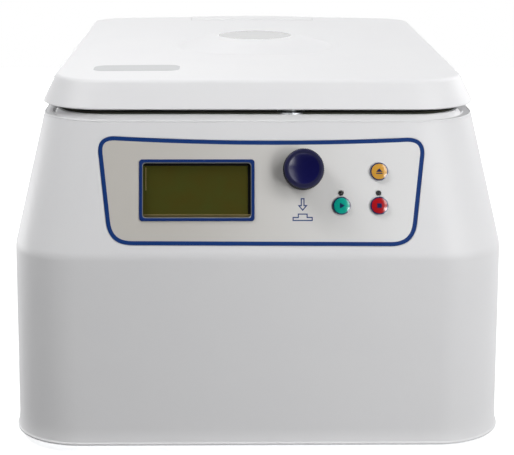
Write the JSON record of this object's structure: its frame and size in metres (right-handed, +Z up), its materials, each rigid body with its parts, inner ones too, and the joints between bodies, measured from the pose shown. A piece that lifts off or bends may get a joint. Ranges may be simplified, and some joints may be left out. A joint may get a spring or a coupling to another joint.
{
  "type": "low-speed centrifuge",
  "caption": "Bench centrifuge with a hinged lid and round window, a tapered housing, a sloping panel with display, knob and buttons, and an angle rotor inside.",
  "frame": {"origin": "on the floor under the middle of the machine's box, at the feet's underside", "axes": "+Z up, -Y towards the user and the control panel, +X to the user's right"},
  "size_m": [0.332, 0.415, 0.2547],
  "materials": {
    "white_abs": "fine moulded texture, satin",
    "inner_abs": "satin",
    "black_rubber": "matt",
    "grey_silicone": "satin",
    "zinc_steel": "zinc plated",
    "stainless_steel": "brushed",
    "anodised_aluminium": "clear anodised",
    "black_plastic": "moulded",
    "motor_castings": "painted grey",
    "transformer_steel": "varnished laminations and winding",
    "circuit_board": "solder mask",
    "overlay_film": "printed polyester film",
    "bezel_blue": "satin",
    "display_glass": "gloss, unlit",
    "knob_navy": "gloss",
    "lamp_black": "gloss",
    "button_amber": "gloss",
    "button_teal": "gloss",
    "button_red": "gloss",
    "window_pane_grey": "gloss, frosted behind",
    "badge_grey": "satin label"
  },
  "bodies": {
    "base": {"housing_shell": "white_abs", "hinge_cover": "white_abs", "foot_front_left": "black_rubber", "foot_front_right": "black_rubber", "foot_rear_left": "black_rubber", "foot_rear_right": "black_rubber", "motor_damper_1": "black_rubber", "motor_damper_2": "black_rubber", "motor_damper_3": "black_rubber", "shaft_boot": "black_rubber", "chamber_gasket": "grey_silicone", "base_plate": "zinc_steel", "rear_plate": "zinc_steel", "hinge_bracket": "zinc_steel", "latch_bracket": "zinc_steel", "motor_mount_plate": "zinc_steel", "base_screw_front_left": "zinc_steel", "base_screw_front_right": "zinc_steel", "base_screw_rear_left": "zinc_steel", "base_screw_rear_right": "zinc_steel", "chamber_bowl": "stainless_steel", "hinge_pin": "stainless_steel", "latch_collar": "stainless_steel", "power_inlet": "black_plastic", "rocker_frame": "black_plastic", "encoder_body": "black_plastic", "switch_open": "black_plastic", "switch_start": "black_plastic", "switch_stop": "black_plastic", "latch_motor": "black_plastic", "motor_body": "motor_castings", "transformer": "transformer_steel", "display_board": "circuit_board", "drive_board": "circuit_board", "panel_overlay": "overlay_film", "display_bezel": "bezel_blue", "display_module": "display_glass", "led_start": "lamp_black", "led_stop": "lamp_black"},
    "lid": {"lid_shell": "white_abs", "lid_liner": "inner_abs", "window_sleeve": "inner_abs", "window_pane": "window_pane_grey", "lid_badge": "badge_grey", "lid_striker": "stainless_steel", "hinge_arm_left": "zinc_steel", "hinge_arm_right": "zinc_steel"},
    "rotor": {"rotor_body": "anodised_aluminium", "rotor_nut": "anodised_aluminium", "motor_shaft": "stainless_steel"},
    "knob_slider": {"encoder_plunger": "black_plastic"},
    "knob": {"encoder_shaft": "stainless_steel", "knob": "knob_navy"},
    "open_button": {"button_open": "button_amber"},
    "start_button": {"button_start": "button_teal"},
    "stop_button": {"button_stop": "button_red"},
    "latch_bolt": {"latch_bolt": "stainless_steel"},
    "power_rocker": {"power_rocker": "black_plastic"}
  },
  "joints": [
    {"name": "lid_hinge", "type": "hinge", "parent": "base", "child": "lid", "pos_m": [0, 0.1885, 0.2374], "axis": [-1, 0, 0], "range_deg": [0, 75]},
    {"name": "rotor_spin", "type": "hinge", "parent": "base", "child": "rotor", "pos_m": [0, 0, 0.15], "axis": [0, 0, 1], "continuous": true},
    {"name": "knob_press", "type": "slide", "parent": "base", "child": "knob_slider", "axis": [0, 0.9592, -0.2826], "range_m": [0, 0.001], "stiffness_N_per_m": 400},
    {"name": "knob_turn", "type": "hinge", "parent": "knob_slider", "child": "knob", "pos_m": [0.0283, -0.18856, 0.18942], "axis": [0, -0.9592, 0.2826], "continuous": true},
    {"name": "open_press", "type": "slide", "parent": "base", "child": "open_button", "axis": [0, 0.9592, -0.2826], "range_m": [0, 0.0005], "stiffness_N_per_m": 400},
    {"name": "start_press", "type": "slide", "parent": "base", "child": "start_button", "axis": [0, 0.9592, -0.2826], "range_m": [0, 0.0005], "stiffness_N_per_m": 400},
    {"name": "stop_press", "type": "slide", "parent": "base", "child": "stop_button", "axis": [0, 0.9592, -0.2826], "range_m": [0, 0.0005], "stiffness_N_per_m": 400},
    {"name": "latch_slide", "type": "slide", "parent": "base", "child": "latch_bolt", "axis": [-1, 0, 0], "range_m": [0, 0.009]},
    {"name": "power_rock", "type": "hinge", "parent": "base", "child": "power_rocker", "pos_m": [-0.032, 0.2002, 0.05], "axis": [-1, 0, 0], "range_deg": [0, 16]}
  ]
}
